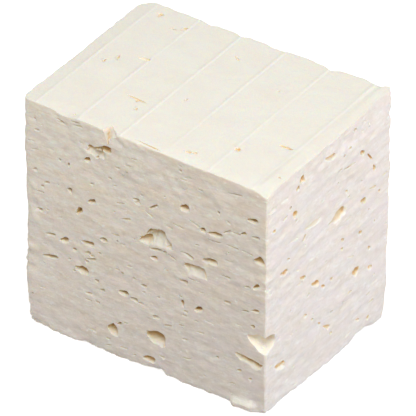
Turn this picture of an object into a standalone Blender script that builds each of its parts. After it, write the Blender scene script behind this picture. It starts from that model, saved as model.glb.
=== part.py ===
"""Block of white brined cheese, cut from a larger brick, as one solid.

Metres, +Z up. The long cut side faces -Y, the short one +X, and the pressed face, with the mould ridges,
is on top.
The block is first described in a true box, measured from its lower left front corner, and then moved to its
eight uneven corners.
"""

import bmesh
import bpy
import numpy as np
from mathutils import Vector, noise

MM = 0.001

# Driving dimensions of the true box
WIDTH = 100.0 * MM
DEPTH = 74.0 * MM
HEIGHT = 93.0 * MM
SIZE = np.array((WIDTH, DEPTH, HEIGHT))

# How far each corner of the block stands from the true box: left or right, front or back, base or top
CORNER_SHIFTS = {
    (0, 0, 0): (-0.1, -1.3, 0.0),
    (1, 0, 0): (-1.0, 2.3, 0.0),
    (1, 1, 0): (2.7, 0.8, 0.0),
    (0, 1, 0): (-1.2, 0.4, 0.0),
    (0, 0, 1): (1.0, 0.8, -0.3),
    (1, 0, 1): (0.9, -0.1, -1.2),
    (1, 1, 1): (1.0, 1.0, -0.2),
    (0, 1, 1): (-1.1, 0.4, 1.2),
}

# Middle of the block's outline, which is the origin in plan
PLAN_CENTRE = np.array((50.62, 37.22, 0.0)) * MM

# Rounding: the upright edges by their place in plan, then every edge a little
UPRIGHT_RADII = {(0, 0): 4.8 * MM, (1, 0): 1.0 * MM, (1, 1): 2.4 * MM, (0, 1): 5.0 * MM}
EDGE_RADIUS = 0.9 * MM
FOOT_CORNER_RADIUS = 5.0 * MM
FOOT_CORNER_HEIGHT = 15.0 * MM

# Mould ridges on the top, each running from front to back
RIDGE_COUNT = 6
FIRST_RIDGE = 6.3 * MM
RIDGE_SPACING = 17.6 * MM
RIDGE_HALF_WIDTH = 0.8 * MM
RIDGE_HEIGHT = 0.4 * MM
MARGIN_DROP = 0.7 * MM

# Relief of the cut sides: broad swellings and the level marks of the cutting wire
SWELL_SIZE = 24.0 * MM
SWELL_HEIGHT = 0.45 * MM
SWELL_SEED = 3.0
WIRE_MARK_SPACING = 5.2 * MM
WIRE_MARK_LENGTH = 60.0 * MM
WIRE_MARK_HEIGHT = 0.3 * MM
WIRE_MARK_SEED = 8.0

# Broken edges, as (place along the edge, how far the crumbs are missing); negative ones stand out. All in mm.
FOOT_EDGE_FRONT = (
    (0, 1.3), (8, 1.1), (12, 0.1), (20, 0.0), (25, 1.3), (30, 0.8), (38, 0.3), (48, 0.7), (54, 1.5),
    (56.5, 2.4), (59, 0.8), (65, 0.2), (84, 0.3), (88, -0.4), (91, -1.2), (97, -1.0), (99, 0.3),
    (100, 0.8),
)
FOOT_EDGE_RIGHT = (
    (0, 0.2), (4, 0.1), (12, 0.8), (20, 0.5), (30, 0.3), (40, 0.2), (47, 0.5), (52, 0.6), (54, 2.3),
    (61, 2.1), (64, 0.6), (68, 0.2), (74, 0.6),
)
BACK_TOP_EDGE = (
    (0, 0.4), (5, -0.4), (20, -0.1), (25.5, 0.3), (28.4, 1.7), (31, 0.3), (38, 0.2), (41.3, 1.7),
    (44, 0.2), (50, 0.4), (54, 1.4), (57, 1.2), (61, 0.3), (69, 0.2), (74, 0.9), (77, 2.4), (80, 0.7),
    (89, -0.1), (92.5, 0.9), (95.6, 1.6), (99, -0.8), (100, 0.0),
)
RIGHT_UPRIGHT_EDGE = (
    (0, 0.6), (6, 0.5), (12, 0.2), (20, 0.2), (25, 0.8), (26.5, 1.4), (29, 0.2), (34, -1.5), (42, -1.0),
    (50, -0.8), (56, 0.0), (60, -0.6), (63, -1.3), (68, -0.6), (75, -0.1), (80.5, -0.6), (82.5, 0.6),
    (84.3, 2.4), (86.3, -0.9), (89, -0.5), (93, 0.3),
)
LEFT_UPRIGHT_EDGE = (
    (0, 0.9), (5, 0.8), (12, 0.1), (18, -0.6), (22, -0.7), (27, -0.9), (30, 0.0), (35, -0.3), (40, -0.1),
    (47, 0.8), (52, 0.6), (60, 0.1), (66, 0.2), (73, -0.6), (80, 0.0), (88, 0.1), (93, 0.1),
)
EDGE_REACH = 3.2 * MM
LEFT_EDGE_REACH = 6.4 * MM

# Shares of a broken edge's depth by which its points move
FOOT_INWARD = 0.9
FOOT_UPWARD = 0.5
RIGHT_CORNER_INWARD = 0.41
LEFT_CORNER_ACROSS = 0.7
LEFT_CORNER_ALONG = 0.5

# Lattice of the surface. Its lines crowd at the edges, the ridges and the strongest steps of the outline.
RIM_LINES = (0.0, 0.4, 1.0, 3.0)
PLAIN_SPACING = 5.6 * MM
FOOT_BREAK_LINES = (54.0 * MM, 61.0 * MM)
UPRIGHT_STEP_LINES = (84.3 * MM, 86.3 * MM)

# Openings left by gas and whey, as (along, up, length, height, tilt in degrees), in mm and seen from outside
FRONT_OPENINGS = (
    (27.8, 78.2, 3.4, 2.0, 30), (30.0, 62.5, 3.8, 1.7, 25), (24.5, 56.4, 4.2, 2.2, 62),
    (20.8, 63.4, 2.2, 2.0, 0), (18.1, 41.9, 4.2, 2.0, 20), (28.1, 44.7, 6.0, 1.8, 8),
    (11.8, 32.5, 7.2, 1.8, 15), (25.6, 32.7, 6.0, 2.4, 3), (43.3, 30.1, 4.4, 2.1, 6),
    (38.4, 13.1, 4.6, 4.2, 15), (56.9, 59.8, 8.6, 4.4, 20), (73.3, 51.0, 8.6, 3.6, 2),
    (56.6, 16.6, 8.0, 5.4, 5), (53.7, 5.7, 5.4, 2.6, 8), (68.1, 75.3, 4.0, 2.8, 20),
    (80.5, 69.4, 5.8, 2.0, 12), (78.4, 57.8, 5.8, 1.8, 12), (93.9, 22.4, 9.4, 2.2, -9),
    (74.1, 35.6, 4.0, 2.2, 38), (95.2, 80.9, 4.2, 1.9, 15),
)
RIGHT_OPENINGS = (
    (40.8, 59.8, 10.4, 4.0, 8), (53.9, 30.1, 5.0, 3.6, -18), (10.2, 16.1, 6.4, 2.4, -11),
    (29.6, 39.5, 5.0, 2.0, -20), (19.7, 85.6, 4.4, 2.8, 22), (56.7, 58.2, 3.6, 2.0, -14),
    (12.0, 54.8, 4.2, 2.6, -20),
)
BACK_OPENINGS = (
    (22.0, 66.0, 8.0, 3.4, 12), (63.0, 72.0, 5.4, 2.4, -10), (80.0, 44.0, 7.4, 3.0, 14),
    (46.0, 38.0, 5.0, 2.2, 25), (30.0, 18.0, 7.8, 3.6, 5), (70.0, 14.0, 5.2, 2.4, -15),
)
LEFT_OPENINGS = (
    (18.0, 70.0, 5.6, 2.4, 10), (50.0, 58.0, 8.4, 3.4, -8), (34.0, 31.0, 6.2, 2.6, 18),
    (58.0, 16.0, 5.0, 2.2, 0),
)
TOP_OPENINGS = (
    (33.5, 20.5, 8.4, 1.6, -3), (90.2, 25.4, 5.8, 2.0, 0), (77.9, 15.7, 2.8, 2.8, 0),
    (21.9, 42.1, 4.8, 2.2, 10),
)
OPENING_SIDES = 8
OPENING_UNEVENNESS = (0.82, 1.12)
OPENING_POINTEDNESS = 0.25
MOUTH_STANDOFF = 1.6 * MM
MOUTH_SPREAD = 1.1

# Depth of an opening: this much, and shares of its length and height
SHALLOWEST = 0.9 * MM
DEPTH_PER_LENGTH = 0.16
DEPTH_PER_HEIGHT = 0.55

# Each ring of a hollow, from mouth to tip: (share of its depth, share of its outline, share of its lift)
HOLLOW_RINGS = ((0.0, 1.0, 0.0), (0.4, 0.9, 0.12), (0.8, 0.62, 0.3), (1.0, 0.26, 0.36))

# The shell-shaped break across the near upright edge, in mm: middle, half sizes, slope of its floor
NOTCH_CENTRE = (100.4, -0.4, 29.0)
NOTCH_RADII = (7.6, 6.2, 2.7)
NOTCH_SLOPE = (-0.34, 0.34)
LUMP_UNEVENNESS = 0.16
LUMP_GRAIN = 0.6
LUMP_SEED = 5.0
LUMP_FINENESS = 2

# The long hollow under the top front edge, its mouth in mm as seen from the front
LONG_HOLLOW = (
    (25.7, 81.2), (27.6, 83.2), (29.2, 84.8), (31.6, 85.6), (35.0, 87.2), (38.3, 87.4), (38.7, 84.8),
    (37.6, 82.6), (34.0, 81.4), (31.0, 81.2), (28.4, 81.0),
)
LONG_HOLLOW_DEPTH = 4.2 * MM
LONG_HOLLOW_LIFT = 4.4 * MM

# The break of the top front edge above it: its plan at the foot and at the top, as (along, inward) in mm
EDGE_BREAK_FOOT = ((35.3, -1.6), (38.8, 2.6), (39.3, -1.6))
EDGE_BREAK_TOP = ((33.4, -1.6), (39.1, 4.4), (41.2, -1.6))
EDGE_BREAK_HEIGHTS = (85.3 * MM, 95.5 * MM)

CHEESE_COLOUR = (0.86, 0.82, 0.74, 1.0)
CHEESE_ROUGHNESS = 0.6


def clear_scene():
    for thing in list(bpy.data.objects):
        bpy.data.objects.remove(thing, do_unlink=True)


def cheese_material():
    material = bpy.data.materials.new("cheese")
    material.use_nodes = True
    shader = material.node_tree.nodes["Principled BSDF"]
    shader.inputs["Base Color"].default_value = CHEESE_COLOUR
    shader.inputs["Roughness"].default_value = CHEESE_ROUGHNESS
    shader.inputs["Metallic"].default_value = 0.0
    return material


def profile(points, along):
    """Height in metres of a broken edge at a place along it, between its hand-set points in mm."""
    places, missing = np.array(points).T
    return np.interp(along / MM, places, missing) * MM


def smooth_noise(point, stretch, seed):
    """Smooth noise from about -1 to 1, with its grain as long as stretch along each axis."""
    return noise.noise(Vector(point / stretch) + Vector((seed, 0.37 * seed, 0.71 * seed)))


def edge_rounded(point, radius):
    """Point of the box surface brought in to edges of this radius, and the direction it now faces."""
    inner = np.clip(point, radius, SIZE - radius)
    outward = point - inner
    length = np.linalg.norm(outward)
    outward = outward / length
    return inner + outward * min(length, radius), outward


def upright_rounded(point):
    """Point moved in plan, from the square corner it is near to that corner's round."""
    moved = point.copy()
    for (right, back), radius in UPRIGHT_RADII.items():
        foot = max(0.0, 1.0 - point[2] / FOOT_CORNER_HEIGHT)
        if (right, back) == (1, 1):
            radius += (FOOT_CORNER_RADIUS - radius) * foot
        centre = np.array((WIDTH - radius if right else radius, DEPTH - radius if back else radius))
        away = (point[:2] - centre) * (1 if right else -1, 1 if back else -1)
        if away.min() > 0.0:
            moved[:2] = centre + (point[:2] - centre) * away.max() / np.hypot(*away)
    return moved


def ridge_height(x):
    """Height of the mould ridges at this place across the top, with the margins outside them falling away."""
    places = FIRST_RIDGE + RIDGE_SPACING * np.arange(RIDGE_COUNT)
    ridges = RIDGE_HEIGHT * np.clip(1.0 - np.abs(x - places) / RIDGE_HALF_WIDTH, 0.0, 1.0).max()
    beyond = max(places[0] - x, x - places[-1], 0.0)
    return ridges - MARGIN_DROP * min(beyond / FIRST_RIDGE, 1.0)


def side_relief(point):
    """Height of a cut side: swellings and wire marks, which wrap round the block at one level."""
    swell = SWELL_HEIGHT * smooth_noise(point, np.full(3, SWELL_SIZE), SWELL_SEED)
    stretch = np.array((WIRE_MARK_LENGTH, WIRE_MARK_LENGTH, WIRE_MARK_SPACING))
    return swell + WIRE_MARK_HEIGHT * smooth_noise(point, stretch, WIRE_MARK_SEED)


def broken_edges(point):
    """How far the crumbled edges move a point of the surface."""
    x, y, z = point
    front, right = y, WIDTH - x
    left, back, below_top = x, DEPTH - y, HEIGHT - z

    def near(first, second, reach=EDGE_REACH):
        return max(0.0, 1.0 - first / reach) * max(0.0, 1.0 - second / reach)

    foot_front = profile(FOOT_EDGE_FRONT, x) * near(z, front)
    foot_right = profile(FOOT_EDGE_RIGHT, y) * near(z, right)
    foot_back = profile(FOOT_EDGE_FRONT, WIDTH - x) * near(z, back)
    foot_left = profile(FOOT_EDGE_RIGHT, y) * near(z, left)
    top_back = profile(BACK_TOP_EDGE, x) * near(below_top, back)
    upright_right = profile(RIGHT_UPRIGHT_EDGE, z) * near(right, back)
    upright_left = profile(LEFT_UPRIGHT_EDGE, z) * near(left, front, LEFT_EDGE_REACH)
    missing = sum(max(0.0, depth) for depth in (foot_front, foot_right, foot_back, foot_left))
    across = FOOT_INWARD * (foot_left - foot_right)
    across += LEFT_CORNER_ACROSS * upright_left - RIGHT_CORNER_INWARD * upright_right
    along = FOOT_INWARD * (foot_front - foot_back) - top_back
    along += LEFT_CORNER_ALONG * upright_left - RIGHT_CORNER_INWARD * upright_right
    return np.array((across, along, FOOT_UPWARD * missing))


def to_uneven_block(point):
    """Point of the true box moved with the block's eight corners, and centred in plan."""
    share = point / SIZE
    shift = np.zeros(3)
    for corner, distances in CORNER_SHIFTS.items():
        weight = np.prod([part if side else 1.0 - part for side, part in zip(corner, share)])
        shift += weight * np.array(distances) * MM
    return point + shift - PLAN_CENTRE


def surface_point(point):
    """Place of one lattice point of the box on the finished surface. The base stays flat inside its edges."""
    moved, outward = edge_rounded(np.array(point), EDGE_RADIUS)
    sideways = outward[0] ** 2 + outward[1] ** 2
    upward = max(outward[2], 0.0) ** 2
    rise = sideways * side_relief(moved) * min(1.0, moved[2] / EDGE_REACH) + upward * ridge_height(moved[0])
    return to_uneven_block(upright_rounded(moved + broken_edges(moved) + outward * rise))


def lattice_lines(length, extra=()):
    """Places of the lattice lines along one axis: both rims, the extra ones, and even steps between."""
    rims = np.array(RIM_LINES) * MM
    fixed = sorted([*rims, *(length - rims), *extra])
    lines = []
    for start, end in zip(fixed, fixed[1:]):
        steps = max(1, round((end - start) / PLAIN_SPACING))
        lines.extend(np.linspace(start, end, steps, endpoint=False))
    return [*lines, length]


def ridge_lines():
    places = FIRST_RIDGE + RIDGE_SPACING * np.arange(RIDGE_COUNT)
    return [place + side * RIDGE_HALF_WIDTH for place in places for side in (-1, 0, 1)]


def block_mesh():
    """Closed shell of quads over the six sides of the lattice."""
    lines = (
        lattice_lines(WIDTH, ridge_lines()),
        lattice_lines(DEPTH, FOOT_BREAK_LINES),
        lattice_lines(HEIGHT, UPRIGHT_STEP_LINES),
    )
    shell = bmesh.new()
    made = {}

    def vertex(index):
        if index not in made:
            point = [lines[axis][place] for axis, place in enumerate(index)]
            made[index] = shell.verts.new(surface_point(point))
        return made[index]

    for axis in range(3):
        first, second = (axis + 1) % 3, (axis + 2) % 3
        for far in (False, True):
            for i in range(len(lines[first]) - 1):
                for j in range(len(lines[second]) - 1):
                    ring = []
                    for di, dj in ((0, 0), (1, 0), (1, 1), (0, 1)):
                        index = [0, 0, 0]
                        index[axis] = len(lines[axis]) - 1 if far else 0
                        index[first], index[second] = i + di, j + dj
                        ring.append(vertex(tuple(index)))
                    shell.faces.new(ring if far else ring[::-1])
    bmesh.ops.triangulate(shell, faces=shell.faces)
    return shell


def on_side(side, along, up, inward):
    """Point of the true box given on one side, as seen from outside it."""
    places = {
        "front": (along, inward, up),
        "right": (WIDTH - inward, along, up),
        "back": (WIDTH - along, DEPTH - inward, up),
        "left": (inward, DEPTH - along, up),
        "top": (along, up, HEIGHT - inward),
    }
    return np.array(places[side])


def add_hollow(cutter, side, outline, depth, lift):
    """Adds a hollow with this mouth, running inwards and narrowing, its rings raised by shares of lift."""
    outline = np.array(outline)
    centre = outline.mean(axis=0)
    rings = []
    for share, scale, raised in ((-MOUTH_STANDOFF / depth, MOUTH_SPREAD, 0.0), *HOLLOW_RINGS):
        corners = centre + (outline - centre) * scale + (0.0, raised * lift)
        places = [on_side(side, *corner, share * depth) for corner in corners]
        rings.append([cutter.verts.new(to_uneven_block(place)) for place in places])
    for outer, inner in zip(rings, rings[1:]):
        for here in range(len(outline)):
            after = (here + 1) % len(outline)
            cutter.faces.new((outer[here], outer[after], inner[after], inner[here]))
    cutter.faces.new(rings[0][::-1])
    cutter.faces.new(rings[-1])


def add_opening(cutter, side, opening, seed):
    """Adds one small opening with an uneven, pointed oval mouth."""
    along, up, length, height, tilt = np.array(opening) * (MM, MM, MM, MM, np.pi / 180.0)
    uneven = np.random.default_rng(seed).uniform(*OPENING_UNEVENNESS, OPENING_SIDES)
    angles = 2.0 * np.pi * np.arange(OPENING_SIDES) / OPENING_SIDES
    wide = 0.5 * length * np.cos(angles) * uneven
    high = 0.5 * height * np.sin(angles) * np.abs(np.sin(angles)) ** OPENING_POINTEDNESS * uneven
    outline = np.stack(
        (
            along + wide * np.cos(tilt) - high * np.sin(tilt),
            up + wide * np.sin(tilt) + high * np.cos(tilt),
        ),
        axis=1,
    )
    depth = SHALLOWEST + DEPTH_PER_LENGTH * length + DEPTH_PER_HEIGHT * height
    add_hollow(cutter, side, outline, depth, height)


def add_lump(cutter, centre, radii, slope):
    """Adds an uneven flat lump, all in mm. slope is how steeply it rises along X and Y."""
    lump = bmesh.ops.create_icosphere(cutter, subdivisions=LUMP_FINENESS, radius=1.0)["verts"]
    for vertex in lump:
        shape = np.array(vertex.co)
        shape *= 1.0 + LUMP_UNEVENNESS * smooth_noise(shape, np.full(3, LUMP_GRAIN), LUMP_SEED)
        offset = shape * np.array(radii) * MM
        offset[2] += slope[0] * offset[0] + slope[1] * offset[1]
        vertex.co = to_uneven_block(np.array(centre) * MM + offset)


def cutter_object(name, fill):
    shape = bmesh.new()
    fill(shape)
    bmesh.ops.recalc_face_normals(shape, faces=shape.faces)
    bmesh.ops.triangulate(shape, faces=shape.faces)
    return object_from(shape, name)


def object_from(shape, name):
    mesh = bpy.data.meshes.new(name)
    shape.to_mesh(mesh)
    shape.free()
    thing = bpy.data.objects.new(name, mesh)
    bpy.context.scene.collection.objects.link(thing)
    return thing


def fill_openings(cutter):
    seed = 0
    sides = {
        "front": FRONT_OPENINGS,
        "right": RIGHT_OPENINGS,
        "back": BACK_OPENINGS,
        "left": LEFT_OPENINGS,
        "top": TOP_OPENINGS,
    }
    for side, openings in sides.items():
        for opening in openings:
            seed += 1
            add_opening(cutter, side, opening, seed)


def fill_corner_notch(cutter):
    """Shell-shaped break across the near upright edge, its floor falling outwards."""
    add_lump(cutter, NOTCH_CENTRE, NOTCH_RADII, NOTCH_SLOPE)


def fill_long_hollow(cutter):
    add_hollow(cutter, "front", np.array(LONG_HOLLOW) * MM, LONG_HOLLOW_DEPTH, LONG_HOLLOW_LIFT)


def fill_edge_break(cutter):
    """Three-sided break of the top front edge, running down into the long hollow."""
    rings = []
    for plan, height in zip((EDGE_BREAK_FOOT, EDGE_BREAK_TOP), EDGE_BREAK_HEIGHTS):
        places = [np.array((along * MM, inward * MM, height)) for along, inward in plan]
        rings.append([cutter.verts.new(to_uneven_block(place)) for place in places])
    foot, top = rings
    for here in range(len(foot)):
        after = (here + 1) % len(foot)
        cutter.faces.new((foot[here], foot[after], top[after], top[here]))
    cutter.faces.new(foot[::-1])
    cutter.faces.new(top)


def cut(block, name, fill):
    cutter = cutter_object(name, fill)
    cutter.hide_render = True
    cutter.display_type = "WIRE"
    step = block.modifiers.new(name, "BOOLEAN")
    step.operation = "DIFFERENCE"
    step.solver = "EXACT"
    step.object = cutter


def make_block():
    block = object_from(block_mesh(), "cheese_block")
    block.data.materials.append(cheese_material())
    cut(block, "openings", fill_openings)
    cut(block, "corner_notch", fill_corner_notch)
    cut(block, "long_hollow", fill_long_hollow)
    cut(block, "edge_break", fill_edge_break)
    return block


clear_scene()
make_block()
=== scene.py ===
"""Looks of the block of white brined cheese: a finely modelled block in place of the CAD solid.

The modelling functions work in millimetres, in a true box measured from the block's lower left
front corner: x runs along the long cut side, y inwards from it, z up. The long cut side is called
front, the short one right. The result is moved to the block's uneven corners, kept inside the CAD
box, and turned into metres.
"""

import math

import bmesh
import bpy
import numpy as np
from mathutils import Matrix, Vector, noise
from mathutils.bvhtree import BVHTree


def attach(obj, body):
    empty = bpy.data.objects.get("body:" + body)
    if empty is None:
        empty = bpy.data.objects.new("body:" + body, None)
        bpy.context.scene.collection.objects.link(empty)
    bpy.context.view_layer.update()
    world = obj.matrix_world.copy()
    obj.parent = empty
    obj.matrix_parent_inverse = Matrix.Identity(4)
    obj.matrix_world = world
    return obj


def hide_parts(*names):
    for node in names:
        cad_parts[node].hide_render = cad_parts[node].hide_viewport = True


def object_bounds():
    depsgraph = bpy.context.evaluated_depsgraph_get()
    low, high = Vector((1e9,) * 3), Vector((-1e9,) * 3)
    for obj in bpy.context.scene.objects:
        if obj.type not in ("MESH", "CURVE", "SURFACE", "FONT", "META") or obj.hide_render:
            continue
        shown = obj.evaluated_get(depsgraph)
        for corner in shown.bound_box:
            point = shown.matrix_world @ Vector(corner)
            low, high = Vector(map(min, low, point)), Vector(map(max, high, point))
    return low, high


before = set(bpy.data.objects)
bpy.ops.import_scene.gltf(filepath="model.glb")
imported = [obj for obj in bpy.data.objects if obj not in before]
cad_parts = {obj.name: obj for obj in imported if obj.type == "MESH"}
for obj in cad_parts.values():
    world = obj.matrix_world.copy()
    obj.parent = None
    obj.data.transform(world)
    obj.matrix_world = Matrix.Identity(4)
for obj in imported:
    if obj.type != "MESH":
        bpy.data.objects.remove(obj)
CAD_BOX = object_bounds()

MM = 0.001
SIZE = np.array((100.0, 74.0, 93.0))
WIDTH, DEPTH, HEIGHT = SIZE

# The block's shape: the CAD source's, with its front corners and edges set nearer to the photograph
CORNER_SHIFTS = {
    (0, 0, 0): (0.6, -0.8, 0.0),
    (1, 0, 0): (-1.0, 2.3, 0.0),
    (1, 1, 0): (2.7, 0.8, 0.0),
    (0, 1, 0): (-1.2, 0.4, 0.0),
    (0, 0, 1): (1.5, 0.9, -0.3),
    (1, 0, 1): (0.7, -0.5, -1.2),
    (1, 1, 1): (1.0, 1.0, -0.2),
    (0, 1, 1): (-1.1, 0.4, 1.2),
}
PLAN_CENTRE = np.array((50.62, 37.22, 0.0))
UPRIGHT_RADII = {(0, 0): 2.6, (1, 0): 0.4, (1, 1): 2.4, (0, 1): 5.0}
EDGE_RADIUS = 0.9
FOOT_CORNER_RADIUS = 5.0
EDGE_REACH = 3.2
FOOT_EDGE_FRONT = (
    (0, 1.3), (8, 1.1), (12, 0.1), (20, 0.0), (25, 1.3), (30, 0.8), (38, 0.3), (48, 0.7), (54, 1.5),
    (56.5, 2.4), (59, 0.8), (65, 0.2), (84, 0.3), (88, 0.1), (91, 0.5), (96, 0.5), (99, 0.5),
    (100, 0.8),
)
FOOT_EDGE_RIGHT = (
    (0, 0.2), (4, 0.1), (12, 0.8), (20, 0.5), (30, 0.3), (40, 0.2), (47, 0.5), (52, 0.6), (54, 2.3),
    (61, 2.1), (64, 0.6), (68, 0.2), (74, 0.6),
)
BACK_TOP_EDGE = (
    (0, 0.4), (5, -0.4), (20, -0.1), (25.5, 0.3), (28.4, 1.7), (31, 0.3), (38, 0.2), (41.3, 1.7),
    (44, 0.2), (50, 0.4), (54, 1.4), (57, 1.2), (61, 0.3), (69, 0.2), (74, 0.9), (77, 2.4), (80, 0.7),
    (89, -0.1), (92.5, 0.9), (95.6, 1.6), (99, -0.8), (100, 0.0),
)
RIGHT_UPRIGHT_EDGE = (
    (0, 0.6), (6, 0.5), (12, 0.2), (20, 0.2), (25, 0.8), (26.5, 1.4), (29, 0.2), (34, -1.5), (42, -1.0),
    (50, -0.8), (56, 0.0), (60, -0.6), (63, -1.3), (68, -0.6), (75, -0.1), (80.5, -0.6), (82.5, 0.6),
    (84.3, 2.4), (86.3, -0.9), (89, -0.5), (93, 0.3),
)
LEFT_UPRIGHT_EDGE = (
    (0, 0.9), (5, 0.8), (12, 0.1), (18, -0.6), (22, -0.7), (27, -0.9), (30, 0.0), (35, -0.3), (40, -0.1),
    (47, 0.8), (52, 0.6), (60, 0.1), (66, 0.2), (73, -0.6), (80, 0.0), (88, 0.1), (93, 0.1),
)

# Lattice of the fine surface
STEP = 1.06
RIM_LINES = (0.0, 0.3, 0.6, 0.9, 1.3, 1.8, 2.4)
RIDGE_LINES = (-0.75, -0.25, 0.25, 0.75)

# Relief
RIDGE_PLACES = 6.3 + 17.6 * np.arange(6)
RIDGE_HALF_WIDTH = 0.75
RIDGE_HEIGHT = 0.22
MARGIN_DROP = 0.5

# Creases of the pressed top, as (points, depth, half width), in plan
TOP_CREASES = (
    (((16, 40.5), (24, 41.3), (30, 41.5), (36, 43), (42.7, 45.6), (49.9, 47.4), (56.3, 49.9), (63.4, 52),
      (72, 53.8), (77, 55.6), (88.4, 59.1), (94, 61)), 0.16, 0.5),
    (((66, 14), (70, 18), (79, 17), (85, 20.5), (90, 23.1), (95, 27)), 0.14, 0.5),
    (((47.7, 60.9), (52.7, 56.3)), 0.1, 0.4),
    (((79, 60.6), (84, 63.5), (89, 67.7)), 0.12, 0.5),
)

# Patches of the sides that crumbled under the wire: middle, reach along and up, and strength
CRUMB_PATCHES = {
    "front": (
        (56.5, 56.5, 5.5, 3, 1), (31, 79.5, 4.5, 2.5, 1), (29.5, 39.5, 4.5, 2.2, 0.8),
        (57, 14.5, 5, 3, 0.6), (1.5, 30, 3, 24, 0.8), (74, 50, 4, 1.5, 0.5),
        (39.5, 90.5, 4, 3.5, 0.9), (94, 3, 7, 4, 0.7), (52, 91.5, 7, 1.5, 0.5),
        (86, 71, 7, 2.5, 0.6), (20, 88.5, 6, 2, 0.5), (62, 53.5, 3, 2.5, 0.6),
    ),
    "right": (
        (3, 53, 3, 5, 0.5), (20.5, 46, 5, 3, 0.5), (52, 31, 6, 3, 0.6),
        (10, 55, 4, 4, 0.5), (40, 33, 5, 6, 0.4), (6, 84, 7, 2, 0.5),
    ),
}

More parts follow.
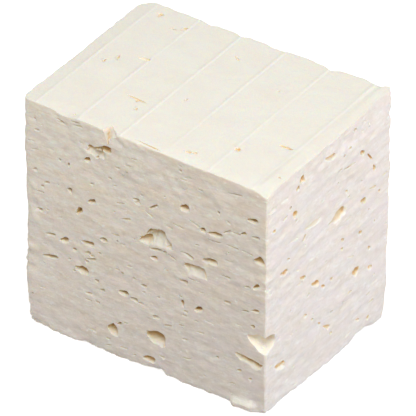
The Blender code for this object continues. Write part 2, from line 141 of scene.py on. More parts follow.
# Openings, as (along, up, length, height, tilt in degrees, depth where 1 is usual). One more value
# says how far the sill drops, and two after it how much wider and how far sideways the sill gets
FRONT_OPENINGS = (
    (27.1, 78.1, 3.2, 1.9, 30, 1), (29.1, 62.2, 3.8, 1.5, 25, 1.2), (23.7, 56.2, 3.8, 1.8, 62, 1),
    (19.9, 63.2, 2.2, 1.9, 0, 1.3), (17.1, 41.6, 4, 2, 20, 1), (27.1, 44.4, 5.8, 1.7, 8, 1.1),
    (10.8, 32.1, 7.2, 1.7, 13, 0.9), (24.7, 32.4, 6, 2.6, 3, 1, 1.1), (42.2, 29.6, 4.2, 1.9, 6, 1.5),
    (37.2, 12.7, 4.2, 3.4, 15, 1, 1.6), (40.4, 15.6, 2.4, 0.9, 40, 1),
    (56.5, 60.9, 6.6, 1.9, 8, 1.2, 4.8, 0.85, -0.12), (50.9, 56.1, 3.2, 1.6, 12, 1),
    (55.7, 53.1, 5.8, 1, 12, 1), (59.5, 53.4, 1.8, 1, 10, 0.9), (62.5, 52.3, 3.4, 0.8, -39, 0.8),
    (54.8, 49.3, 3.2, 1.5, 8, 1), (71.4, 52.3, 8.6, 1.3, 3, 0.9, 3.6, 0.15, 0.08),
    (55.4, 16.9, 7.8, 3.6, 4, 1, 3.2), (52.4, 5.3, 5.2, 2.2, 8, 0.9, 1.4), (67.4, 74.9, 3.8, 2.6, 22, 1),
    (74.7, 68.8, 2.4, 1.9, 15, 1), (79.7, 69.1, 5.8, 1.8, 12, 0.9), (77.6, 57.4, 6, 1.7, 12, 1, 1.1),
    (68.5, 55.9, 5.6, 1.1, -10, 1.1), (93.1, 22, 10.6, 2, -11, 0.9, 1.5), (98.3, 21.5, 1.4, 1.2, 0, 1),
    (72.9, 35.1, 3.8, 1.9, 38, 1.5), (94.5, 80.7, 4.2, 1.7, 14, 1.1), (96.8, 65.2, 4.2, 3.2, 25, 0.8),
    (95.9, 54, 3.2, 1.6, 42, 1), (92.5, 52.6, 3, 0.8, 8, 0.8), (95.5, 43.6, 3.8, 1.4, 18, 1),
    (91.7, 42.1, 3.2, 0.7, 8, 0.9), (94.8, 36.9, 1.8, 1.6, 0, 1), (95.9, 74.4, 3.2, 0.9, 10, 0.9),
    (84.7, 43, 2.8, 0.9, 5, 0.9, 0.9), (67, 44.5, 3.6, 0.9, 8, 0.8, 1.1), (84, 53.2, 4.4, 0.7, 0, 0.7),
    (66.5, 35.3, 1.4, 2.8, 0, 0.7), (68, 32, 2, 0.7, 0, 0.8), (50.6, 35.7, 2.3, 1.3, 0, 1.1),
    (50.5, 33, 1.8, 0.7, 0, 0.8), (46.5, 28.6, 3.2, 1, 6, 0.9, 1), (49.2, 27.7, 2.6, 0.7, -2, 0.8),
    (31.2, 30.1, 2, 1.2, 0, 0.6), (33.4, 27.1, 2, 1.1, 15, 0.6), (27.4, 23.2, 3.2, 0.8, 5, 0.7),
    (31.3, 21.2, 2.2, 0.7, 0, 0.8), (34.1, 48.6, 3.2, 1.4, 12, 1.1), (21.5, 39.2, 1.9, 1.3, 5, 1),
    (27.3, 40.5, 3, 1, 15, 1.1), (29.4, 39.9, 1.8, 0.6, 0, 0.7), (26.8, 36.8, 1.8, 0.8, -11, 0.7),
    (32.4, 42.2, 1.2, 0.6, 0, 0.9), (11.3, 41.5, 4.6, 1.2, 12, 1.1), (6.8, 50.2, 2.8, 1, 8, 1.1),
    (10, 62.3, 2.6, 0.8, 15, 0.9), (8.1, 60.2, 1.4, 0.9, 15, 1.1), (47.7, 70.1, 3.2, 1.2, 0, 1.1),
    (54.8, 70.1, 4.2, 0.8, 36, 0.9), (71.5, 70.1, 4.6, 0.5, -18, 0.8), (53, 66.6, 4, 0.5, -17, 0.6),
    (39.9, 79.8, 2.2, 0.8, 0, 0.9), (37, 74.3, 1.8, 0.7, 0, 0.9), (15.8, 73.5, 1.2, 1.2, 0, 0.8),
    (19.6, 73.2, 0.8, 2, 0, 0.8), (29.2, 69.1, 1.7, 0.7, 0, 0.9), (31.3, 80.3, 1.6, 0.9, 10, 1),
    (5.3, 86.1, 1.1, 1, 0, 0.8), (6.3, 82.1, 2.2, 0.7, 5, 0.8), (65.6, 88.7, 1.3, 1.1, 0, 1),
    (87.2, 87.9, 6.4, 0.7, 9, 0.9), (80.9, 78.1, 1.4, 1.1, 0, 1), (85.1, 76, 2.4, 0.6, -31, 0.7),
    (84.5, 72, 3.4, 0.5, 32, 0.8), (88.2, 72.8, 3.2, 0.4, 6, 0.7), (90.9, 73.9, 2.6, 0.9, 35, 0.9),
    (79.6, 66, 5.6, 0.5, 4, 0.8), (86.4, 66.7, 5.4, 0.45, 2, 0.8), (92.2, 66.9, 5, 0.5, -3, 0.8),
    (41.8, 37.6, 1.2, 0.9, 0, 0.9), (46.3, 36.9, 1.2, 0.8, 0, 0.7), (56.7, 33.4, 1.4, 0.6, 0, 0.8),
    (55.3, 24.8, 2.4, 0.8, 20, 0.8), (80.5, 17.4, 1.4, 1.1, 0, 0.8), (67.4, 19.7, 2.2, 0.7, 10, 0.8),
    (89.5, 15.6, 2.2, 1.2, 15, 0.8), (94, 13.8, 1.5, 1.2, 0, 0.8), (16, 89.3, 4.2, 0.7, -12, 0.7),
    (22.5, 91.2, 4.6, 0.6, 5, 0.7), (19.2, 34.3, 1.2, 0.8, 0, 0.7), (21.1, 30.2, 1.2, 0.7, 20, 0.7),
    (73.7, 84.4, 2.2, 0.5, 0, 0.6), (44.7, 41.5, 2.4, 0.5, 0, 0.5), (57.9, 8.1, 2.6, 0.8, 0, 0.6),
    (46.5, 4.2, 1.6, 0.8, 0, 0.7), (61.5, 64.5, 2.6, 0.5, -8, 0.6), (59.9, 46.2, 2.2, 0.5, -21, 0.5),
    (86.8, 9, 2.4, 0.6, 10, 0.6), (73.9, 25.5, 3.2, 0.4, 8, 0.5), (35.7, 7.3, 2, 0.6, 0, 0.6),
)
RIGHT_OPENINGS = (
    (40.8, 60.2, 10.2, 4, 8, 0.53, 0.4), (42.1, 61.8, 5.2, 2.2, 5, 0.7),
    (26.4, 65.4, 11, 1.9, -2, 0.45, 0.25), (21.5, 62.8, 2.6, 2, 60, 0.35),
    (56.3, 58.4, 3.4, 2.1, -16, 0.65), (28.5, 40.1, 4.6, 2, -20, 0.7), (33.2, 36.1, 3.2, 1.1, -41, 0.41),
    (53, 30.9, 4.2, 3.5, -20, 0.53), (8.3, 17.4, 6.2, 2.5, -14, 0.53), (19.7, 87.7, 2.8, 3, 11, 0.53),
    (17.2, 85.4, 2.2, 1.8, 11, 0.53), (36.2, 87.2, 6, 1.9, -15, 0.41), (15.8, 76.4, 3.2, 2.2, -38, 0.53),
    (55.3, 78.4, 3.2, 1.5, -41, 0.53), (59.8, 74.2, 4.4, 0.6, -53, 0.41), (63, 68.1, 3.2, 1.2, -61, 0.41),
    (10.8, 55.5, 3.6, 2.5, -22, 0.58), (8.5, 55.9, 1.2, 1.5, 0, 0.58), (12.9, 59.3, 2.2, 1, -30, 0.41),
    (18.6, 51.1, 1.4, 1.1, -20, 0.53), (21.4, 46.5, 4, 1.6, -32, 0.53), (55.3, 45.7, 2.2, 1.5, -30, 0.53),
    (61.3, 35.8, 2.6, 1.4, -43, 0.53), (38.2, 36.3, 2.2, 1.2, -30, 0.35), (62, 27.3, 3.2, 1.6, -32, 0.41),
    (35.9, 17.2, 4.6, 1.6, -32, 0.53), (31.7, 20.9, 2.2, 1.1, -35, 0.47),
    (38.6, 12.7, 2.2, 1.1, -25, 0.47), (23, 29.7, 2.2, 1, -35, 0.35), (27.1, 25.6, 1.8, 1, -30, 0.41),
    (54.6, 9.2, 2.4, 1, -25, 0.35), (61, 6.7, 1.6, 1.5, -20, 0.35), (46.4, 67.5, 1.8, 1, -30, 0.41),
    (44.2, 49.1, 2.2, 0.9, -35, 0.41), (44.2, 45.3, 1.8, 0.9, -30, 0.35), (12.9, 80.5, 1.6, 0.9, 1, 0.41),
    (50.7, 89.8, 2, 0.9, -20, 0.41), (3.8, 76.5, 1.6, 0.9, -9, 0.35), (64, 45.5, 1.4, 1, -20, 0.41),
    (45.8, 21.9, 1.6, 0.8, -20, 0.35), (16.4, 11.9, 2.2, 0.8, -10, 0.3), (66.3, 56.7, 1.6, 1, -10, 0.41),
)
TOP_OPENINGS = (
    (33.3, 20.7, 8.2, 1, -4, 0.4), (34.1, 19.8, 1.4, 1.2, 0, 0.65), (36.5, 15.7, 1.2, 1.8, 20, 0.45),
    (89.9, 25.3, 5.4, 1.5, 0, 0.35), (77.6, 15.5, 2.2, 2.4, 0, 0.35), (65.2, 5.2, 2.4, 1.3, 10, 0.35),
    (67.3, 5.9, 2, 1.1, 10, 0.35), (21.7, 42, 4.4, 1.6, 10, 0.3), (13.6, 37.8, 1.2, 3, 15, 0.3),
    (10.7, 33.4, 1.3, 2.6, 10, 0.35), (10.6, 68.3, 2, 2.8, -21, 0.45), (22.6, 65.6, 1.5, 3.2, -25, 0.35),
    (19.5, 63.1, 2.6, 0.8, 0, 0.25), (47.4, 60.2, 3.6, 1, -32, 0.3), (21.1, 1.4, 1.3, 2, 20, 0.35),
    (97.8, 10.1, 1.2, 0.7, 0, 0.35), (47.4, 29.6, 0.9, 1.8, 10, 0.25), (69.7, 51.2, 1.6, 0.6, 20, 0.25),
    (52.1, 0.9, 10.5, 0.7, -3, 0.4),
)
BACK_OPENINGS = (
    (22, 66, 8, 3, 12, 0.7), (63, 72, 5.2, 2, -10, 0.7), (80, 44, 7.4, 2.4, 14, 0.7),
    (46, 38, 5, 1.8, 25, 0.8), (30, 18, 7.8, 3, 5, 0.7), (70, 14, 5.2, 2, -15, 0.7),
)
LEFT_OPENINGS = (
    (18, 70, 5.4, 2, 10, 0.7), (50, 58, 8.4, 2.8, -8, 0.7), (34, 31, 6.2, 2.2, 18, 0.7),
    (58, 16, 5, 1.8, 0, 0.7),
)

# Shallow scoops under some openings, whose floors catch the light from above
FRONT_LIPS = (
    (31, 82.2, 9, 4.2, 6, 0.7), (17, 88.3, 4.8, 1.4, -8, 0.9), (23.4, 89.8, 4.8, 1.2, 8, 0.8),
    (55.7, 24.1, 2.8, 1.2, 20, 0.6), (48.2, 68.9, 3.2, 1.1, 0, 0.6), (5.1, 65.8, 2.6, 1.6, 20, 0.5),
    (29, 38.2, 4.6, 1.4, 14, 0.7), (61.5, 56, 2.6, 1.4, 10, 0.6), (43.7, 60.7, 3.6, 0.8, 16, 0.6),
    (85, 60, 4.6, 0.8, 4, 0.5), (65.1, 66.4, 5, 0.7, -6, 0.6), (39.1, 52.5, 3.6, 0.7, 6, 0.6),
    (11.7, 76.2, 4.4, 0.8, 4, 0.5), (68.3, 12, 4.4, 0.8, 6, 0.6), (28.9, 8.1, 4, 0.9, 0, 0.6),
    (77.4, 31.3, 4.2, 0.7, -4, 0.5), (51.8, 55.6, 6, 4, 22, 0.8), (60.7, 57.8, 4.6, 3, -28, 0.6),
)
RIGHT_LIPS = (
    (19.5, 45, 5, 1.6, -13, 0.7), (2.7, 85.2, 5, 1.8, -1, 0.6), (9.9, 84.9, 4, 1.2, -1, 0.5),
    (1.3, 53.4, 4, 1.6, -13, 0.6), (9.3, 15.7, 4.6, 1.4, -15, 0.6), (33.3, 71.8, 6, 0.8, -5, 0.5),
    (47.6, 77.2, 7, 0.8, -8, 0.5), (15, 65.7, 6, 0.9, -7, 0.6), (44.4, 54.3, 6, 0.7, -11, 0.5),
    (61.8, 60.6, 4.6, 0.8, -14, 0.5), (27, 51.2, 5, 0.7, -13, 0.5), (49.4, 38.8, 4, 0.7, -20, 0.5),
)

# Crumbs that stand out near the left upright edge: along, up, reach up and how far out
LEFT_CRUMBS = ((4.3, 45.8, 1.9, 1.1), (2.4, 20.8, 2.2, 1.0), (2.7, 13.7, 1.8, 0.9), (3.0, 32.8, 1.6, 0.7))

# The long hollow, the edge break over it and the corner notch. The CAD solid has them up to 5 mm
# elsewhere, and in other sizes
LONG_HOLLOW = (
    (27.8, 82.3), (29.6, 83.1), (31.2, 83.7), (32.9, 84.0), (34.4, 84.0), (36.0, 83.9), (37.6, 84.4),
    (37.4, 86.5), (36.0, 86.7), (34.6, 86.5), (32.5, 85.2), (30.6, 84.3), (29.2, 84.2), (27.9, 84.1),
    (27.3, 83.2),
)
LONG_HOLLOW_DEPTH = 4.0
LONG_HOLLOW_LIFT = 3.4
EDGE_BREAK_FOOT = ((35.4, -1.6), (35.9, 0.1), (36.6, -1.6))
EDGE_BREAK_TOP = ((32.4, -1.6), (35.9, 4.3), (46.4, -1.6))
EDGE_BREAK_HEIGHTS = (87.2, 95.5)
NOTCH_CENTRE = (100.4, -0.4, 29.8)
NOTCH_RADII = (7.6, 6.2, 3.5)
NOTCH_SLOPE = (-0.22, 0.22)

# Random openings on the unseen sides and random nicks on the cut ones: (side, how many, seed)
UNSEEN_SIDES = (("back", 56, 21), ("left", 40, 22), ("base", 9, 23))
NICKS = (("front", 60, 31), ("right", 50, 32), ("back", 40, 33), ("left", 30, 34))
SIDE_SPANS = {
    "front": (WIDTH, HEIGHT),
    "right": (DEPTH, HEIGHT),
    "back": (WIDTH, HEIGHT),
    "left": (DEPTH, HEIGHT),
    "base": (WIDTH, DEPTH),
}

# Cutters: points around a mouth, plain sill drops and widening, seeds, and spacings
LARGE_SIDES, MOST_SIDES, FEWEST_SIDES, NICK_SIDES = 42, 34, 9, 8
LIP_FLARE = TOP_FLARE = 0.15
PLAIN_WIDENING = 0.12
FIRST_OPENING_SEED = 700
NOTCH_SEED, LONG_HOLLOW_SEED = 5.0, 17
LONG_HOLLOW_STEP = 0.6
BREAK_POINTS_ALONG, BREAK_LEVELS = 13, 26
GROUP_GAP = 0.9

# Rays out of the hollows, their reach and start, and the least depth of a hollow
RAYS, RAY_REACH, RAY_LIFT = 28, 9.0, 0.05
LEAST_DEPTH = 0.03
SHARP_ANGLE = math.radians(48.0)


def clipped(values):
    """Values held between 0 and 1."""
    return np.clip(values, 0.0, 1.0)


def add_object(name, data):
    made = bpy.data.objects.new(name, data)
    bpy.context.scene.collection.objects.link(made)
    return made


def profile(points, along):
    return np.interp(along, *np.array(points).T)


def smooth_noise(points, stretch, seed):
    """Smooth noise from about -1 to 1. stretch is the length of its grain, or one for each axis."""
    shifted = points / np.array(stretch) + np.array((seed, 0.37 * seed, 0.71 * seed))
    return np.array([noise.noise(Vector(place)) for place in shifted])


def near(*distances):
    """1 on an edge, falling to 0 at its reach."""
    weight = 1.0
    for distance in distances:
        weight = weight * clipped(1.0 - distance / EDGE_REACH)
    return weight


def edge_rounded(points, radius):
    inner = np.clip(points, radius[:, None], SIZE - radius[:, None])
    outward = points - inner
    length = np.linalg.norm(outward, axis=1)
    outward = outward / length[:, None]
    return inner + outward * np.minimum(length, radius)[:, None], outward


def upright_rounded(points):
    moved = points.copy()
    foot = clipped(1.0 - points[:, 2] / (3.0 * FOOT_CORNER_RADIUS))
    for (right, back), plain in UPRIGHT_RADII.items():
        foot_extra = FOOT_CORNER_RADIUS - plain if (right, back) == (1, 1) else 0.0
        radius = plain + foot_extra * foot
        centre = np.stack((WIDTH - radius if right else radius, DEPTH - radius if back else radius), axis=1)
        from_centre = points[:, :2] - centre
        away = from_centre * (1 if right else -1, 1 if back else -1)
        inside = away.min(axis=1) > 0.0
        reach = np.hypot(away[:, 0], away[:, 1])
        shrink = np.where(inside, away.max(axis=1) / np.where(inside, reach, 1.0), 1.0)
        moved[:, :2] = np.where(inside[:, None], centre + from_centre * shrink[:, None], moved[:, :2])
    return moved


def distance_to_path(plan, path):
    """Distance of each point in plan from a path, and how far it lies to the path's left."""
    best = np.full(len(plan), np.inf)
    side = np.zeros(len(plan))
    for start, end in zip(path, path[1:]):
        start, along = np.array(start), np.array(end, float) - start
        share = clipped(((plan - start) @ along) / (along @ along))
        offset = plan - start - share[:, None] * along
        distance = np.hypot(offset[:, 0], offset[:, 1])
        left = along[0] * offset[:, 1] - along[1] * offset[:, 0]
        closer = distance < best
        best = np.where(closer, distance, best)
        side = np.where(closer, np.sign(left), side)
    return best, side


def ridge_share(points):
    """1 on the crests of the mould ridges, where they aren't worn, and 0 beside them."""
    wander = 0.25 * smooth_noise(points, (40.0, 14.0, 40.0), 31.0)
    nearest = np.abs(points[:, :1] + wander[:, None] - RIDGE_PLACES).min(axis=1)
    worn = np.clip(0.75 + 0.7 * smooth_noise(points, (12.0, 16.0, 12.0), 32.0), 0.1, 1.0)
    ridge = clipped(1.0 - nearest / RIDGE_HALF_WIDTH)
    return worn * ridge * ridge * (3.0 - 2.0 * ridge)


def top_relief(points):
    """Mould ridges, falling margins, creases with one raised lip, and slight dents."""
    x, y = points[:, 0], points[:, 1]
    height = RIDGE_HEIGHT * ridge_share(points)
    height -= MARGIN_DROP * clipped((RIDGE_PLACES[0] - x) / RIDGE_PLACES[0])
    band = x - np.interp(y, (0.0, 40.0, 55.0, 74.0), (94.6, 94.8, 96.0, 96.7))
    height += clipped(band / 0.8) * (0.45 - 0.14 * np.clip(band - 0.8, 0.0, 6.0))
    for path, depth, half_width in TOP_CREASES:
        distance, side = distance_to_path(points[:, :2], path)
        height -= depth * np.exp(-((distance / half_width) ** 2))
        height += 0.7 * depth * (side > 0.0) * np.exp(-distance / 2.5)
    rough_patch = np.exp(-(((x - 69.0) / 11.0) ** 2) - ((y - 55.0) / 4.0) ** 2)
    height += 0.18 * rough_patch * smooth_noise(points, (2.2, 1.6, 2.2), 33.0)
    height += 0.14 * smooth_noise(points, (16.0, 8.0, 16.0), 34.0)
    height += 0.055 * smooth_noise(points, (3.0, 2.2, 3.0), 35.0)
    front_rise = clipped(1.0 - y / 3.0)
    return height - 0.35 * front_rise ** 2


def side_relief(points):
    """Swellings, level wire marks that wrap round the block, and fine crumb."""
    swell = 0.45 * smooth_noise(points, 24.0, 3.0)
    beside = np.clip(points[:, 1] / 4.0, 0.7, 1.0)
    marks = 0.22 * beside * smooth_noise(points, (60.0, 60.0, 5.2), 8.0)
    upper = np.clip((points[:, 2] - 35.0) / 20.0, 0.3, 1.0)
    fine_marks = 0.24 * beside ** 2 * upper * smooth_noise(points, (30.0, 30.0, 2.2), 9.0)
    rough = np.clip(0.75 + 1.1 * smooth_noise(points, (15.0, 15.0, 11.0), 14.0), 0.3, 1.5)
    tears = 0.33 * rough * smooth_noise(points, (5.0, 5.0, 2.8), 10.0)
    torn = clipped(smooth_noise(points, (5.0, 5.0, 3.4), 13.0) - 0.24)
    crumb = 0.27 * rough * smooth_noise(points, (2.4, 2.4, 1.6), 11.0)
    crumbled = 1.6 * torn
    for side, patches in CRUMB_PATCHES.items():
        for along, up, reach_along, reach_up, strength in patches:
            reach = (reach_along, 3.0, reach_up) if side == "front" else (3.0, reach_along, reach_up)
            offset = (points - on_side(side, along, up, 0.0)) / reach
            crumbled += strength * np.exp(-(offset ** 2).sum(axis=1))
    coarse = smooth_noise(points, (2.0, 2.0, 1.5), 12.0)
    return swell + marks + fine_marks + tears + crumb + clipped(crumbled) * 0.8 * coarse


def broken_edges(points):
    """How far the crumbled edges move each point: across, along and up."""
    x, y, z = points.T
    front, right, left, back, below_top = y, WIDTH - x, x, DEPTH - y, HEIGHT - z
    ragged = 0.55 * smooth_noise(points, 2.4, 41.0) + 0.3 * smooth_noise(points, 1.1, 42.0)
    foot_front = (profile(FOOT_EDGE_FRONT, x) + ragged) * near(z, front)
    foot_right = (profile(FOOT_EDGE_RIGHT, y) + ragged) * near(z, right)
    foot_back = (profile(FOOT_EDGE_FRONT, WIDTH - x) + ragged) * near(z, back)
    foot_left = (profile(FOOT_EDGE_RIGHT, y) + ragged) * near(z, left)
    top_back = (profile(BACK_TOP_EDGE, x) + 0.5 * ragged) * near(below_top, back)
    top_left = 0.5 * ragged * near(below_top, left)
    top_front = 0.3 * ragged * near(below_top * 1.5, front * 1.5)
    top_right = 0.25 * ragged * near(below_top * 1.5, right * 1.5)
    upright_right = (profile(RIGHT_UPRIGHT_EDGE, z) + 0.5 * ragged) * near(right, back)
    upright_left = (profile(LEFT_UPRIGHT_EDGE, z) + 0.5 * ragged) * near(left / 2.0, front / 2.0)
    upright_near = 0.3 * ragged * near(right * 1.5, front * 1.5)
    across = 0.9 * (foot_left - foot_right) - 0.41 * upright_right + 0.7 * upright_left
    across += 0.7 * (top_left - top_right) - 0.7 * upright_near
    along = 0.9 * (foot_front - foot_back) - top_back - 0.41 * upright_right + 0.5 * upright_left
    along += 0.7 * (top_front + upright_near)
    ledge = clipped((x - 86.6) / 1.6) * clipped((96.6 - x) / 1.2)
    ledge = ledge * clipped(1.0 - y / 3.0)
    along -= 1.7 * np.sqrt(ledge) * clipped((3.6 + 0.08 * (x - 88.0) + 0.6 * ragged - z) / 1.4)
    missing = np.maximum(foot_front, 0.0) + np.maximum(foot_right, 0.0)
    missing += np.maximum(foot_back, 0.0) + np.maximum(foot_left, 0.0)
    raised = 0.5 * missing - 0.4 * (np.abs(top_left) + np.abs(top_front) + np.abs(top_right))
    raised -= 1.5 * clipped(1.0 - np.sqrt(right ** 2 + front ** 2 + below_top ** 2) / 6.0) ** 1.3
    raised -= 1.2 * np.exp(-(((x - 18.0) / 4.0) ** 2)) * clipped(1.0 - y / 4.0) * near(below_top)
    bow = np.interp(y, (0.0, 50.0, 58.0, 66.0, 71.0, 74.0), (0.0, 0.0, 0.3, 1.2, 1.0, 0.2))
    across -= bow * clipped(1.0 - below_top / 7.0) ** 1.5 * clipped(1.0 - right / 12.0)
    for along_edge, up, reach, bulge in LEFT_CRUMBS:
        along -= bulge * np.exp(-(((x - along_edge) / 1.9) ** 2) - ((z - up) / reach) ** 2 - (y / 2.5) ** 2)
    return np.stack((across, along, raised), axis=1)


def corner_moves(share):
    """How far each uneven corner moves points at these shares of the true box."""
    for corner, shift in CORNER_SHIFTS.items():
        weight = np.prod(np.where(corner, share, 1.0 - share), axis=1)
        yield weight[:, None] * np.array(shift)


def to_uneven_block(points):
    moved = points - PLAN_CENTRE
    for move in corner_moves(points / SIZE):
        moved = moved + move
    return moved


def from_uneven_block(points):
    """Places in the true box, near enough to find the ridges."""
    moved = points + PLAN_CENTRE
    for move in corner_moves(clipped(moved / SIZE)):
        moved = moved - move
    return moved


def surface_points(points):
    """Places of the lattice points on the finished surface, before the openings are cut."""
    radius = EDGE_RADIUS * (1.0 + 0.45 * smooth_noise(points, 5.0, 51.0))
    x, y, z = points.T
    near_upright = clipped(1.0 - (WIDTH - x) / 6.0) * clipped(1.0 - y / 6.0)
    radius *= 1.0 - 0.62 * near_upright * (z < HEIGHT - 2.0)
    right_top = clipped(1.0 - (WIDTH - x) / 8.0) * clipped(1.0 - (HEIGHT - z) / 8.0)
    radius *= 1.0 - 0.45 * right_top
    front_top = clipped(1.0 - y / 5.0) * clipped(1.0 - (HEIGHT - z) / 5.0)
    radius *= 1.0 - 0.4 * front_top * (x < WIDTH - 8.0)
    moved, outward = edge_rounded(points, radius)
    sideways = outward[:, 0] ** 2 + outward[:, 1] ** 2
    upward = np.maximum(outward[:, 2], 0.0) ** 2
    settled = clipped(moved[:, 2] / EDGE_REACH)
    rise = sideways * settled * side_relief(moved) + upward * top_relief(moved)
    return to_uneven_block(upright_rounded(moved + broken_edges(moved) + outward * rise[:, None]))


def lattice_lines(length, extra=()):
    rims = np.array(RIM_LINES)
    fixed = sorted([*rims, *(length - rims), *extra])
    lines = []
    for start, end in zip(fixed, fixed[1:]):
        steps = max(1, round((end - start) / STEP))
        lines.extend(np.linspace(start, end, steps, endpoint=False))
    return np.array([*lines, length])


def block_faces():
    """Lattice points of the box's surface, and its faces: quads, and one flat face inside the base."""
    ridge_lines = (RIDGE_PLACES[:, None] + np.array(RIDGE_LINES)).ravel()
    lines = (lattice_lines(WIDTH, ridge_lines), lattice_lines(DEPTH), lattice_lines(HEIGHT))
    counts = [len(places) for places in lines]
    rim = int(np.searchsorted(lines[2], EDGE_REACH + STEP))
    high_i, high_j = counts[0] - 1 - rim, counts[1] - 1 - rim

    def number(i, j, k):
        return (i * counts[1] + j) * counts[2] + k

    quads = []
    for axis in range(3):
        first, second = (axis + 1) % 3, (axis + 2) % 3
        i, j = np.meshgrid(np.arange(counts[first] - 1), np.arange(counts[second] - 1), indexing="ij")
        i, j = i.ravel(), j.ravel()
        for far in (False, True):
            if axis == 2 and not far:
                edge = (i < rim) | (i >= high_i) | (j < rim) | (j >= high_j)
                i_here, j_here = i[edge], j[edge]
            else:
                i_here, j_here = i, j
            corners = []
            for di, dj in ((0, 0), (1, 0), (1, 1), (0, 1)):
                index = [None, None, None]
                index[axis] = np.full(len(i_here), counts[axis] - 1 if far else 0)
                index[first], index[second] = i_here + di, j_here + dj
                corners.append(number(*index))
            ring = np.stack(corners, axis=1)
            quads.append(ring if far else ring[:, ::-1])
    quads = np.concatenate(quads)
    hole = [number(i, rim, 0) for i in range(rim, high_i)]
    hole += [number(high_i, j, 0) for j in range(rim, high_j)]
    hole += [number(i, high_j, 0) for i in range(high_i, rim, -1)]
    hole += [number(rim, j, 0) for j in range(high_j, rim, -1)]
    used, index = np.unique(quads, return_inverse=True)
    place_of = {old: new for new, old in enumerate(used)}
    i, rest = np.divmod(used, counts[1] * counts[2])
    j, k = np.divmod(rest, counts[2])
    points = np.stack((lines[0][i], lines[1][j], lines[2][k]), axis=1)
    faces = index.reshape(quads.shape).tolist()
    faces.append([place_of[corner] for corner in hole][::-1])
    return points, faces


def on_side(side, along, up, inward):
    """Points of the true box given on one side, as seen from outside it."""
    places = {
        "front": (along, inward, up),
        "right": (WIDTH - inward, along, up),
        "back": (WIDTH - along, DEPTH - inward, up),
        "left": (inward, DEPTH - along, up),
        "top": (along, up, HEIGHT - inward),
        "base": (WIDTH - along, up, inward),
    }
    return np.stack(np.broadcast_arrays(*places[side]), axis=-1)


def add_hollow(cutter, side, outline, depth, lift, rings, seed):
    """Adds a hollow with this mouth. rings are (share of depth, share of outline, share of lift)."""
    centre = outline.mean(axis=0)
    made = []
    for share, scale, raised in rings:
        corners = centre + (outline - centre) * scale + (0.0, raised * lift)
        places = on_side(side, *corners.T, share * depth)
        if share > 0.0:
            crumb = smooth_noise(places, 0.9, seed)
            places = places + 0.25 * crumb[:, None] * np.sin(places * 3.0 + seed)
        made.append([cutter.verts.new(place) for place in to_uneven_block(places)])
    close_rings(cutter, made)


# Rings of a hollow, from mouth to tip: (share of its depth, of its outline, of its lift)
OPENING_RINGS = ((0.3, 0.96, 0.04), (0.55, 0.86, 0.1), (0.8, 0.64, 0.2), (1.0, 0.28, 0.3))
NICK_RINGS = ((0.5, 0.85, 0.1), (1.0, 0.4, 0.3))
LIP_RINGS = ((0.2, 0.86, 0.16), (0.45, 0.66, 0.36), (0.72, 0.44, 0.6), (1.0, 0.2, 0.8))
STANDOFF = 1.3
SILL_STEP = 0.6
NICK_HEIGHT = 0.46

# Reach of the soft stop at the CAD box's sides
SOFT_RIM = 0.8


